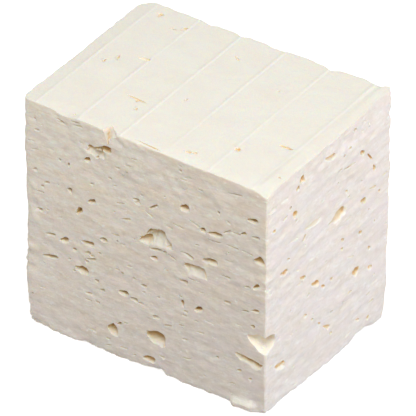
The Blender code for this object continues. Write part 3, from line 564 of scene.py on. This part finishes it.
def add_opening(cutter, side, opening, seed, lip):
    """Adds one opening: pointed on its left, blunt on its right, level above, with a sloping sill."""
    along, up, length, height, tilt, deep = opening[:6]
    large, nick = len(opening) > 8, height < NICK_HEIGHT
    fewest = NICK_SIDES if nick else FEWEST_SIDES
    sides = LARGE_SIDES if large else int(np.clip(round(2.0 * (length + height)) + 4, fewest, MOST_SIDES))
    random = np.random.default_rng(seed)
    angles = 2.0 * np.pi * (np.arange(sides) + 0.3) / sides
    ragged = random.uniform(0.78, 1.18, sides)
    cosine, sine = np.cos(angles), np.sin(angles)
    blunt = random.uniform(0.45, 0.9)
    wide = np.where(cosine > 0.0, np.abs(cosine) ** blunt, -(np.abs(cosine) ** 1.15))
    wide = wide * (0.75 + 0.25 * ragged)
    fuller_right = (1.0 + random.uniform(0.15, 0.6) * cosine) / 1.1
    share = np.where(sine > 0.0, 0.42, 0.58)
    high = share * sine * np.abs(sine) ** 0.25 * ragged * fuller_right
    if lip:
        depth, rings, lift = 0.85 * deep * height, LIP_RINGS, 0.5 * height
        flare = LIP_FLARE
    else:
        depth = deep * (0.8 * height + 0.06 * length + 0.2)
        rings, lift = NICK_RINGS if nick else OPENING_RINGS, height
        plain_flare = TOP_FLARE if side == "top" else 0.3 + 0.14 * height
        flare = opening[6] if len(opening) > 6 else plain_flare
    widening, sideways = opening[7:9] if large else (PLAIN_WIDENING, 0.0)
    lower = clipped(-1.6 * sine) ** 0.7
    lower = lower * (random.uniform(0.92, 1.04, sides) if large else random.uniform(0.7, 1.2, sides))
    turn = math.radians(tilt)

    def ring(inward, scale, raised, drop, toward_right):
        spread = drop / flare * lower
        across = 0.5 * length * wide * scale * (1.0 + widening * spread) + toward_right * 0.2 * length
        across = across + sideways * length * spread
        over = height * high * scale - drop * lower
        places = on_side(
            side,
            along + across * np.cos(turn) - over * np.sin(turn),
            up + across * np.sin(turn) + over * np.cos(turn) + raised * lift,
            inward,
        )
        if inward > 0.0:
            crumb = smooth_noise(places, 0.9, seed)[:, None] * np.sin(places * 3.0 + seed)
            coarse = smooth_noise(places, 1.5, seed + 0.5)
            outward = on_side(side, 0.0, 0.0, -1.0) - on_side(side, 0.0, 0.0, 0.0)
            rough = min(0.8, 0.15 + 0.18 * flare)
            places = places + rough * (coarse[:, None] * outward + crumb)
        return [cutter.verts.new(place) for place in to_uneven_block(places)]

    made = [ring(-STANDOFF, 1.0, 0.0, 1.4 * flare, 0.0), ring(0.0, 1.0, 0.0, flare, 0.0)]
    start = 0.45 * flare if large else flare
    depth += start
    steps = max(1 if nick else 2, round(start / SILL_STEP))
    for step in range(1, steps + 1):
        scale, drop = 1.0 - 0.03 * step / steps, flare * (1.0 - step / steps)
        made.append(ring(start * step / steps, scale, 0.0, drop, 0.0))
    for part, scale, raised in rings:
        inward = start + (depth - start) * part
        made.append(ring(inward, scale, raised, 0.0, 0.0 if lip else part * (1.0 - scale)))
    close_rings(cutter, made)


def close_rings(cutter, rings):
    count = len(rings[0])
    for outer, inner in zip(rings, rings[1:]):
        for here in range(count):
            after = (here + 1) % count
            cutter.faces.new((outer[here], outer[after], inner[after], inner[here]))
    cutter.faces.new(rings[0][::-1])
    cutter.faces.new(rings[-1])


def add_lump(cutter, centre, radii, slope, seed):
    lump = bmesh.ops.create_icosphere(cutter, subdivisions=4, radius=1.0)["verts"]
    shape = np.array([vertex.co for vertex in lump])
    shape *= 1.0 + 0.16 * smooth_noise(shape, 0.6, seed)[:, None]
    shape *= 1.0 + 0.03 * smooth_noise(shape, 0.15, seed + 1.0)[:, None]
    offset = shape * np.array(radii)
    offset[:, 2] += slope[0] * offset[:, 0] + slope[1] * offset[:, 1]
    for vertex, place in zip(lump, to_uneven_block(np.array(centre) + offset)):
        vertex.co = place


def add_edge_break(cutter):
    """Three-sided break of the top front edge, its walls split finely and left uneven."""
    foot, top = np.array(EDGE_BREAK_FOOT), np.array(EDGE_BREAK_TOP)
    low, high = EDGE_BREAK_HEIGHTS
    rings = []
    for level in range(BREAK_LEVELS):
        share = level / (BREAK_LEVELS - 1)
        plan = foot + (top - foot) * share
        ring = []
        for start, end in zip(plan, np.roll(plan, -1, axis=0)):
            for step in range(BREAK_POINTS_ALONG):
                plan_point = start + (end - start) * step / BREAK_POINTS_ALONG
                ring.append((*plan_point, low + (high - low) * share))
        ring = np.array(ring)
        ring[:, :2] += 0.5 * smooth_noise(ring, (1.9, 1.9, 1.5), 71.0)[:, None] * (1.0, 0.8)
        ring[:, :2] += 0.35 * smooth_noise(ring, 0.9, 72.0)[:, None] * (1.0, 0.8)
        rings.append([cutter.verts.new(place) for place in to_uneven_block(ring)])
    close_rings(cutter, rings)


def split_outline(outline, step):
    """Closed outline with extra points, so that none are further apart than step."""
    points = []
    for start, end in zip(np.array(outline), np.roll(outline, -1, axis=0)):
        pieces = max(1, math.ceil(np.hypot(*(end - start)) / step))
        points.extend(start + (end - start) * piece / pieces for piece in range(pieces))
    return np.array(points)


def random_nicks(side, count, seed, taken):
    """Tiny nicks and crumbs lost from the surface, clear of the openings."""
    random = np.random.default_rng(seed)
    length, height = SIDE_SPANS[side]
    new = []
    while len(new) < count:
        along, up = random.uniform(2.0, length - 2.0), random.uniform(2.0, height - 2.0)
        clear = all(
            abs(along - other[0]) > 0.5 * other[2] + 1.2 or abs(up - other[1]) > 0.5 * other[3] + 0.9
            for other in (*taken, *new)
        )
        long, tilt = 0.8 + 2.6 * random.random() ** 1.5, random.uniform(-6.0, 18.0)
        high, deep = random.uniform(0.22, 0.45), random.uniform(0.2, 0.45)
        if clear:
            new.append((along, up, long, high, tilt, deep))
    return new


def random_openings(side, count, seed, taken):
    """Openings for an unseen side, of the same sizes as those that show, clear of those already there."""
    random = np.random.default_rng(seed)
    length, height = SIDE_SPANS[side]
    placed = list(taken)
    new = []
    while len(new) < count:
        along, up = random.uniform(4.0, length - 4.0), random.uniform(4.0, height - 4.0)
        long = 1.2 + 4.6 * random.random() ** 2.2
        clear = all(
            abs(along - other[0]) > 0.6 * (long + other[2]) or abs(up - other[1]) > 2.6
            for other in placed
        )
        tilt, deep = random.uniform(-8.0, 26.0), random.uniform(0.4, 0.85)
        high = random.uniform(0.22, 0.42) * long + 0.3
        if clear:
            opening = (along, up, long, high, tilt, deep)
            new.append(opening)
            placed.append(opening)
    return new


def all_openings():
    """Every lip, opening and nick, as (side, opening, whether it is a lip)."""
    lips = {"front": FRONT_LIPS, "right": RIGHT_LIPS}
    known = {"front": FRONT_OPENINGS, "right": RIGHT_OPENINGS, "top": TOP_OPENINGS}
    known |= {"back": BACK_OPENINGS, "left": LEFT_OPENINGS}
    found = [(side, opening, True) for side, openings in lips.items() for opening in openings]
    found += [(side, opening, False) for side, openings in known.items() for opening in openings]
    for side, count, seed in UNSEEN_SIDES:
        drawn = random_openings(side, count, seed, known.get(side, ()))
        found += [(side, opening, False) for opening in drawn]
    for side, count, seed in NICKS:
        taken = [opening for other, opening, _ in found if other == side]
        found += [(side, nick, False) for nick in random_nicks(side, count, seed, taken)]
    return found


def opening_groups():
    """The openings in groups of which none touch each other, each with a seed of its own."""
    groups = []
    for number, (side, opening, lip) in enumerate(all_openings()):
        along, up, length = opening[:3]
        centre = on_side(side, along, up, 0.0)
        reach = 0.5 * length + GROUP_GAP
        for group in groups:
            if all(np.linalg.norm(centre - other) > reach + other_reach for _, other, other_reach in group):
                break
        else:
            group = []
            groups.append(group)
        group.append(((side, opening, FIRST_OPENING_SEED + number, lip), centre, reach))
    return [[entry for entry, _, _ in group] for group in groups]


def fill_group(cutter, group):
    for entry in group:
        add_opening(cutter, *entry)


def fill_breaks(cutter):
    add_lump(cutter, NOTCH_CENTRE, NOTCH_RADII, NOTCH_SLOPE, NOTCH_SEED)
    rings = ((-STANDOFF / LONG_HOLLOW_DEPTH, 1.04, 0.0), (0.0, 1.0, 0.0), *OPENING_RINGS)
    outline = split_outline(LONG_HOLLOW, LONG_HOLLOW_STEP)
    add_hollow(cutter, "front", outline, LONG_HOLLOW_DEPTH, LONG_HOLLOW_LIFT, rings, LONG_HOLLOW_SEED)


def cutter_object(name, fill):
    shape = bmesh.new()
    fill(shape)
    bmesh.ops.recalc_face_normals(shape, faces=shape.faces)
    bmesh.ops.triangulate(shape, faces=shape.faces)
    mesh = bpy.data.meshes.new(name)
    shape.to_mesh(mesh)
    shape.free()
    return add_object(name, mesh)


def cut_all(block, cutters):
    """Cuts each cutter from the block in turn, keeps the result and removes the cutters."""
    for cutter in cutters:
        step = block.modifiers.new(cutter.name, "BOOLEAN")
        step.operation = "DIFFERENCE"
        step.solver = "MANIFOLD"
        step.object = cutter
    graph = bpy.context.evaluated_depsgraph_get()
    result = bpy.data.meshes.new_from_object(block.evaluated_get(graph))
    block.modifiers.clear()
    block.data = result
    for cutter in cutters:
        bpy.data.objects.remove(cutter)


def mesh_points(mesh):
    points = np.empty(len(mesh.vertices) * 3, np.float32)
    mesh.vertices.foreach_get("co", points)
    return points.reshape(-1, 3).astype(float)


def store(mesh, name, values):
    mesh.attributes.new(name, "FLOAT", "POINT").data.foreach_set("value", values.astype(np.float32))


def openness(mesh, points, normals, chosen):
    """Share of the directions out of each chosen point that leave its hollow."""
    mesh.calc_loop_triangles()
    tree = BVHTree.FromPolygons(points.tolist(), [t.vertices[:] for t in mesh.loop_triangles])
    turns = np.pi * (3.0 - 5.0 ** 0.5) * np.arange(RAYS)
    radius = np.sqrt((np.arange(RAYS) + 0.5) / RAYS)
    disc = np.stack((radius * np.cos(turns), radius * np.sin(turns)), axis=1)
    lift = np.sqrt(1.0 - radius ** 2)
    values = np.ones(len(points))
    for vertex in np.nonzero(chosen)[0]:
        normal = normals[vertex]
        helper = np.array((1.0, 0.0, 0.0)) if abs(normal[0]) < 0.7 else np.array((0.0, 1.0, 0.0))
        first = np.cross(normal, helper)
        first /= np.linalg.norm(first)
        second = np.cross(normal, first)
        start = Vector(points[vertex] + RAY_LIFT * normal)
        directions = disc[:, :1] * first + disc[:, 1:] * second + lift[:, None] * normal
        free = sum(tree.ray_cast(start, Vector(way), RAY_REACH)[0] is None for way in directions)
        values[vertex] = free / RAYS
    return values


def fitted(points):
    """Points in metres, drawn in softly where they would leave the CAD box. The base stays where it is."""
    low, high = (np.array(corner) / MM for corner in CAD_BOX)
    over = points - (high - SOFT_RIM)
    under = low + SOFT_RIM - points
    under[:, 2] = 0.0
    drawn = np.where(over > 0.0, high - SOFT_RIM * np.exp(-np.maximum(over, 0.0) / SOFT_RIM), points)
    return np.where(under > 0.0, low + SOFT_RIM * np.exp(-np.maximum(under, 0.0) / SOFT_RIM), drawn) * MM


def store_looks(mesh, points, uncut):
    """Stores what the material reads at each point, such as how much painted shade its hollow gets and how
    open it is.
    """
    normals = np.array([vertex.normal for vertex in mesh.vertices])
    depth = np.array([uncut.find_nearest(Vector(point))[3] for point in points])
    open_share = openness(mesh, points, normals, depth > LEAST_DEPTH)
    top = on_top(points, normals)
    rightward, upward = clipped(normals[:, 0]), clipped(normals[:, 2])
    downward = clipped(-normals[:, 2])
    beside, above = side_shares(points)
    # Painted shade in the hollows: less on floors that face up, and less near the middle of the corner
    # notch
    shade = 1.0 - (0.8 - 0.5 * beside) * clipped((upward - 0.3) / 0.4)
    from_notch = np.linalg.norm(points + PLAN_CENTRE - np.array(NOTCH_CENTRE), axis=1)
    shade *= np.where(from_notch < 9.0, np.clip((from_notch - 3.5) / 8.0, 0.15, 1.0), 1.0)
    # Painted shade: hollows are tinted tan where few directions leave them and under surfaces that face
    # down, and brown where they are deep and closed
    painted_hollow_shade = clipped((0.75 - open_share) / 0.45) * clipped((depth - 0.12) / 0.9)
    painted_hollow_shade += 0.2 * clipped(downward / 0.4) * clipped((depth - 0.1) / 0.3)
    painted_deep_shade = clipped((0.56 - open_share) / 0.56) * clipped((depth - 0.5) / 1.6)
    near_top = clipped((points[:, 2] - HEIGHT + 6.0) / 2.0)
    looks = {
        # Painted shade in the hollows, weaker off the front and close under the top
        "painted_hollow_shade": painted_hollow_shade * shade * (1.0 - 0.1 * beside) * (1.0 - 0.72 * above),
        "painted_deep_shade": painted_deep_shade * shade * (1.0 - 0.8 * beside) * (1.0 - above),
        "open_share": open_share,
        "beside": beside,
        "pressed_top": top,
        # Painted highlight: the crests of the mould ridges on the top are coloured paler
        "ridge": top * ridge_share(from_uneven_block(points)),
        # Painted light: cut surfaces that face up are coloured paler, as if lit from above
        "upward_painted_light": clipped((upward - 0.12) / 0.4) * (1.0 - top),
        # Painted shade: the rounded top edge, where it faces up and to the right, is coloured darker to
        # damp its highlight from the lamps
        "rim_painted_shade": near_top * clipped(2.2 * upward * rightward),
    }
    for name, values in looks.items():
        store(mesh, name, values)


def make_block():
    lattice, faces = block_faces()
    points = surface_points(lattice)
    mesh = bpy.data.meshes.new("cheese")
    mesh.from_pydata(points.tolist(), [], faces)
    block = add_object("cheese", mesh)
    uncut = BVHTree.FromPolygons(points.tolist(), faces)
    cutters = [cutter_object("edge_break", add_edge_break), cutter_object("breaks", fill_breaks)]
    for group in opening_groups():
        cutters.append(cutter_object("openings", lambda cutter: fill_group(cutter, group)))
    cut_all(block, cutters)
    mesh = block.data
    points = mesh_points(mesh)
    store_looks(mesh, points, uncut)
    mesh.vertices.foreach_set("co", fitted(points).astype(np.float32).ravel())
    mesh.update()
    mesh.shade_smooth()
    mesh.set_sharp_from_angle(angle=SHARP_ANGLE)
    return block


def side_shares(points):
    """How far each point is from the front: 0 there, 1 on the other sides. And 1 close under the top."""
    inward = points[:, 1] + PLAN_CENTRE[1]
    beside = clipped(inward / 5.0)
    above = clipped(1.0 - (HEIGHT - points[:, 2]) / 3.0) * clipped((inward - 1.0) / 2.0)
    return beside, above


def on_top(points, normals):
    """1 on the pressed top, 0 on the cut sides."""
    high = clipped((points[:, 2] - HEIGHT + 4.0) / 1.5)
    return high * clipped((normals[:, 2] - 0.45) / 0.35)


def set_inputs(node, values):
    for name, value in values.items():
        node.inputs[name].default_value = value


class Shader:
    """Short calls for building a node tree."""

    def __init__(self, name):
        self.material = bpy.data.materials.new(name)
        self.material.use_nodes = True
        self.tree = self.material.node_tree
        self.principled = self.tree.nodes["Principled BSDF"]

    def node(self, kind, values=(), **settings):
        made = self.tree.nodes.new(kind)
        for name, value in settings.items():
            setattr(made, name, value)
        for socket, value in dict(values).items():
            if hasattr(value, "is_output"):
                self.tree.links.new(value, made.inputs[socket])
            else:
                made.inputs[socket].default_value = value
        return made

    def attribute(self, name):
        return self.node("ShaderNodeAttribute", attribute_name=name).outputs["Fac"]

    def stretched(self, scale):
        place = self.node("ShaderNodeTexCoord").outputs["Object"]
        return self.node("ShaderNodeMapping", {"Vector": place, "Scale": scale}).outputs["Vector"]

    def noise(self, scale, detail=3.0, roughness=0.55):
        """Noise whose grain is as long as scale, in millimetres, along each axis."""
        vector = self.stretched([1000.0 / length for length in scale])
        values = {"Vector": vector, "Scale": 1.0, "Detail": detail, "Roughness": roughness}
        return self.node("ShaderNodeTexNoise", values).outputs["Fac"]

    def remap(self, value, low, high, to_low=0.0, to_high=1.0):
        values = {"Value": value, "From Min": low, "From Max": high, "To Min": to_low, "To Max": to_high}
        return self.node("ShaderNodeMapRange", values).outputs["Result"]

    def mix(self, share, first, second, blend="MIX"):
        values = {0: share, 6: first, 7: second}
        return self.node("ShaderNodeMix", values, data_type="RGBA", blend_type=blend).outputs[2]

    def times(self, first, second):
        return self.mix(1.0, first, second, "MULTIPLY")

    def math(self, operation, first, second):
        return self.node("ShaderNodeMath", {0: first, 1: second}, operation=operation).outputs[0]

    def link(self, value, socket):
        self.tree.links.new(value, self.principled.inputs[socket])

    def bump(self, height, strength, distance, normal=None):
        values = {"Height": height, "Strength": strength, "Distance": distance * MM}
        if normal is not None:
            values["Normal"] = normal
        return self.node("ShaderNodeBump", values).outputs["Normal"]


# Linear colours of the cheese, and of the light and shade painted on it
PRESSED = (0.884, 0.887, 0.82, 1.0)
CUT = (0.865, 0.815, 0.755, 1.0)
CUT_WARM = (0.85, 0.78, 0.69, 1.0)
CUT_PINK = (0.885, 0.8, 0.755, 1.0)
CUT_PALE = (0.885, 0.85, 0.81, 1.0)
# Painted light: the cut sides are coloured brighter towards the left end, in place of a fill light from the
# left
LEFT_PAINTED_LIGHT = (1.08, 1.06, 1.045, 1.0)
# Painted light and shade: the cut sides are coloured darker and bluer towards the floor and brighter and
# warmer towards the top, a little differently off the front
LOWER_PAINTED_SHADE = (0.978, 0.982, 1.0, 1.0)
LOWER_PAINTED_SHADE_BESIDE = (0.985, 0.992, 1.022, 1.0)
UPPER_PAINTED_LIGHT = (1.085, 1.058, 1.032, 1.0)
UPPER_PAINTED_LIGHT_BESIDE = (1.045, 1.032, 1.035, 1.0)
SPECK = (0.985, 0.965, 0.915, 1.0)
FINE_DARK = (0.93, 0.925, 0.913, 1.0)
FINE_PALE = (1.072, 1.072, 1.072, 1.0)
FLECK_DARK = (0.91, 0.904, 0.888, 1.0)
FLECK_PALE = (1.09, 1.095, 1.1, 1.0)
# Painted light: the paler colour of cut surfaces that face up, such as sills and ledges
UPWARD_PAINTED_LIGHT = (0.93, 0.915, 0.845, 1.0)
# Painted highlight on the crests of the mould ridges
RIDGE_PAINTED_HIGHLIGHT = (0.97, 0.965, 0.915, 1.0)
# Painted shade for the rounded top edge that faces the lamps
RIM_PAINTED_SHADE = (0.83, 0.83, 0.815, 1.0)
# Painted light and shade in the hollows: warm cream where they begin to close in, tan inside, golden off
# the front, brown where deep
HOLLOW_MOUTH_PAINTED_LIGHT = (0.92, 0.875, 0.77, 1.0)
HOLLOW_PAINTED_SHADE = (0.8, 0.63, 0.34, 1.0)
HOLLOW_PAINTED_SHADE_BESIDE = (0.9, 0.7, 0.4, 1.0)
HOLLOW_DEEP_PAINTED_SHADE = (0.54, 0.34, 0.12, 1.0)
# Painted light: where the brightening towards the left end starts and stops along x, in metres
LEFT_PAINTED_LIGHT_SPAN = (-50.0 * MM, 30.0 * MM)
CHEESE_INPUTS = {
    "IOR": 1.4,
    "Specular IOR Level": 0.3,
    "Subsurface Weight": 0.6,
    "Subsurface Radius": (1.0, 0.75, 0.45),
    "Subsurface Scale": 1.6 * MM,
}


def cheese_material():
    shader = Shader("cheese")
    streaks = shader.noise((26.0, 26.0, 3.2))
    patches = shader.noise((9.0, 9.0, 6.0))
    cut = shader.mix(shader.remap(streaks, 0.38, 0.66), CUT_WARM, CUT)
    cut = shader.mix(shader.remap(patches, 0.42, 0.75, 0.0, 0.7), cut, CUT_PALE)
    top_patches = shader.noise((13.0, 8.0, 13.0))
    pressed = shader.mix(shader.remap(top_patches, 0.3, 0.75, 0.0, 0.35), PRESSED, CUT_WARM)
    fine = shader.remap(shader.noise((1.8, 1.8, 1.3), 3.0, 0.65), 0.25, 0.75)
    flecks = shader.remap(shader.noise((5.0, 5.0, 1.6), 3.0, 0.6), 0.28, 0.72)
    beside = shader.attribute("beside")
    strength = shader.remap(beside, 0.0, 1.0, 1.0, 0.72)
    cut = shader.mix(strength, cut, shader.times(cut, shader.mix(fine, FINE_DARK, FINE_PALE)))
    cut = shader.mix(strength, cut, shader.times(cut, shader.mix(flecks, FLECK_DARK, FLECK_PALE)))
    specks = shader.remap(shader.noise((2.6, 2.6, 1.3), 2.0, 0.5), 0.61, 0.71, 0.0, 0.8)
    cut = shader.mix(shader.math("MULTIPLY", specks, strength), cut, SPECK)
    pinks = shader.noise((12.0, 12.0, 5.0), 2.0)
    cut = shader.mix(shader.remap(pinks, 0.5, 0.72, 0.0, 0.8), cut, CUT_PINK)
    coordinates = shader.node("ShaderNodeTexCoord").outputs["Object"]
    across, _, up = shader.node("ShaderNodeSeparateXYZ", {0: coordinates}).outputs
    # Painted light and shade: darker towards the floor, brighter towards the top
    lower = shader.mix(beside, LOWER_PAINTED_SHADE, LOWER_PAINTED_SHADE_BESIDE)
    upper = shader.mix(beside, UPPER_PAINTED_LIGHT, UPPER_PAINTED_LIGHT_BESIDE)
    painted_height_light = shader.mix(shader.remap(up, 0.0, HEIGHT * MM), lower, upper)
    # Painted light: brighter towards the left end, fading out to the right
    rightwards = shader.remap(across, *LEFT_PAINTED_LIGHT_SPAN)
    cut = shader.times(cut, shader.mix(rightwards, shader.times(painted_height_light, LEFT_PAINTED_LIGHT), painted_height_light))
    # Painted light on cut surfaces that face up
    cut = shader.mix(shader.attribute("upward_painted_light"), cut, UPWARD_PAINTED_LIGHT)
    skin = shader.mix(shader.attribute("pressed_top"), cut, pressed)
    # Painted highlight on the ridge crests
    skin = shader.mix(shader.remap(shader.attribute("ridge"), 0.05, 0.7, 0.0, 0.75), skin, RIDGE_PAINTED_HIGHLIGHT)
    # Painted shade on the rounded top edge that faces the lamps
    skin = shader.mix(shader.attribute("rim_painted_shade"), skin, shader.times(skin, RIM_PAINTED_SHADE))
    # Painted light and shade in the hollows, by how open and how deep each point is
    rim = shader.remap(shader.attribute("open_share"), 0.97, 0.72)
    with_rim = shader.mix(rim, skin, HOLLOW_MOUTH_PAINTED_LIGHT)
    tan = shader.mix(beside, HOLLOW_PAINTED_SHADE, HOLLOW_PAINTED_SHADE_BESIDE)
    with_hollow_shade = shader.mix(shader.remap(shader.attribute("painted_hollow_shade"), 0.0, 0.4), with_rim, tan)
    colour = shader.mix(shader.remap(shader.attribute("painted_deep_shade"), 0.15, 0.8), with_hollow_shade, HOLLOW_DEEP_PAINTED_SHADE)
    shader.link(colour, "Base Color")
    grain_strength = shader.remap(shader.attribute("pressed_top"), 0.0, 1.0, 0.85, 0.5)
    grain = shader.bump(shader.noise((1.3, 1.3, 1.1), 4.0, 0.75), grain_strength, 0.36)
    marks = shader.bump(shader.noise((18.0, 18.0, 0.9), 2.0, 0.5), 0.38, 0.3, grain)
    shader.link(marks, "Normal")
    roughness = shader.remap(shader.noise((3.0, 3.0, 2.0)), 0.3, 0.7, 0.42, 0.6)
    shader.link(roughness, "Roughness")
    set_inputs(shader.principled, CHEESE_INPUTS)
    return shader.material


# Camera: the photograph's viewing angle and framing
IMAGE_SIDE = 416.0
SENSOR = 36.0
CAMERA_AZIMUTH = math.radians(34.68)
CAMERA_ELEVATION = math.radians(34.31)
CAMERA_DISTANCE = 1.0
PIXELS_PER_METRE = 2922.7
LOOK_AT = (-0.62 * MM, -0.22 * MM, 46.97 * MM)
AIM_RIGHT = 1.57 * MM
AIM_UP = -0.75 * MM

# Studio: the floor, the room's light, and the lights as (name, direction, side, power, colour)
FLOOR_HALF = 3.0
PAPER_INPUTS = {
    "Base Color": (0.95, 0.95, 0.95, 1.0),
    "Roughness": 0.9,
    "Specular IOR Level": 0.0,
    "Emission Color": (1.0, 1.0, 1.0, 1.0),
    "Emission Strength": 0.5,
}
ROOM_INPUTS = {"Color": (1.0, 0.97, 0.945, 1.0), "Strength": 0.43}
LIGHT_DISTANCE = 1.0
LIGHTS = (
    ("key", (0.3, -0.5, 1.0), 0.45, 5.62, (1.0, 0.96, 0.895)),
    ("side", (1.0, 0.12, 0.3), 0.6, 4.05, (0.955, 0.985, 1.10)),
)


def make_camera():
    back = Vector(
        (
            math.sin(CAMERA_AZIMUTH) * math.cos(CAMERA_ELEVATION),
            -math.cos(CAMERA_AZIMUTH) * math.cos(CAMERA_ELEVATION),
            math.sin(CAMERA_ELEVATION),
        )
    )
    right = Vector((math.cos(CAMERA_AZIMUTH), math.sin(CAMERA_AZIMUTH), 0.0))
    up = back.cross(right)
    data = bpy.data.cameras.new("camera")
    data.sensor_width = SENSOR
    data.lens = SENSOR * PIXELS_PER_METRE * CAMERA_DISTANCE / IMAGE_SIDE
    camera = add_object("camera", data)
    camera.rotation_mode = "QUATERNION"
    camera.rotation_quaternion = (-back).to_track_quat("-Z", "Y")
    camera.location = Vector(LOOK_AT) + right * AIM_RIGHT + up * AIM_UP + back * CAMERA_DISTANCE
    bpy.context.scene.camera = camera


def make_light(name, direction, side, power, colour):
    data = bpy.data.lights.new(name, "AREA")
    data.shape = "SQUARE"
    data.size = side
    data.energy = power
    data.color = colour
    light = add_object(name, data)
    direction = Vector(direction).normalized()
    light.location = direction * LIGHT_DISTANCE + Vector((0.0, 0.0, 0.5 * HEIGHT * MM))
    light.rotation_mode = "QUATERNION"
    light.rotation_quaternion = direction.to_track_quat("Z", "Y")


def make_studio():
    """White floor, soft lights from above and from the right, and a dimmer room all round."""
    mesh = bpy.data.meshes.new("floor")
    corners = [(x * FLOOR_HALF, y * FLOOR_HALF, 0) for x, y in ((-1, -1), (1, -1), (1, 1), (-1, 1))]
    mesh.from_pydata(corners, [], [(0, 1, 2, 3)])
    floor = add_object("floor", mesh)
    floor.visible_diffuse = False
    paper = bpy.data.materials.new("paper")
    paper.use_nodes = True
    set_inputs(paper.node_tree.nodes["Principled BSDF"], PAPER_INPUTS)
    mesh.materials.append(paper)

    world = bpy.data.worlds.new("room")
    world.use_nodes = True
    bpy.context.scene.world = world
    set_inputs(world.node_tree.nodes["Background"], ROOM_INPUTS)
    for light in LIGHTS:
        make_light(*light)
    bpy.context.scene.view_settings.view_transform = "Standard"


make_camera()
make_studio()
cheese = make_block()
cheese.data.materials.clear()
cheese.data.materials.append(cheese_material())
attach(cheese, "root")
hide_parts("cheese_block")
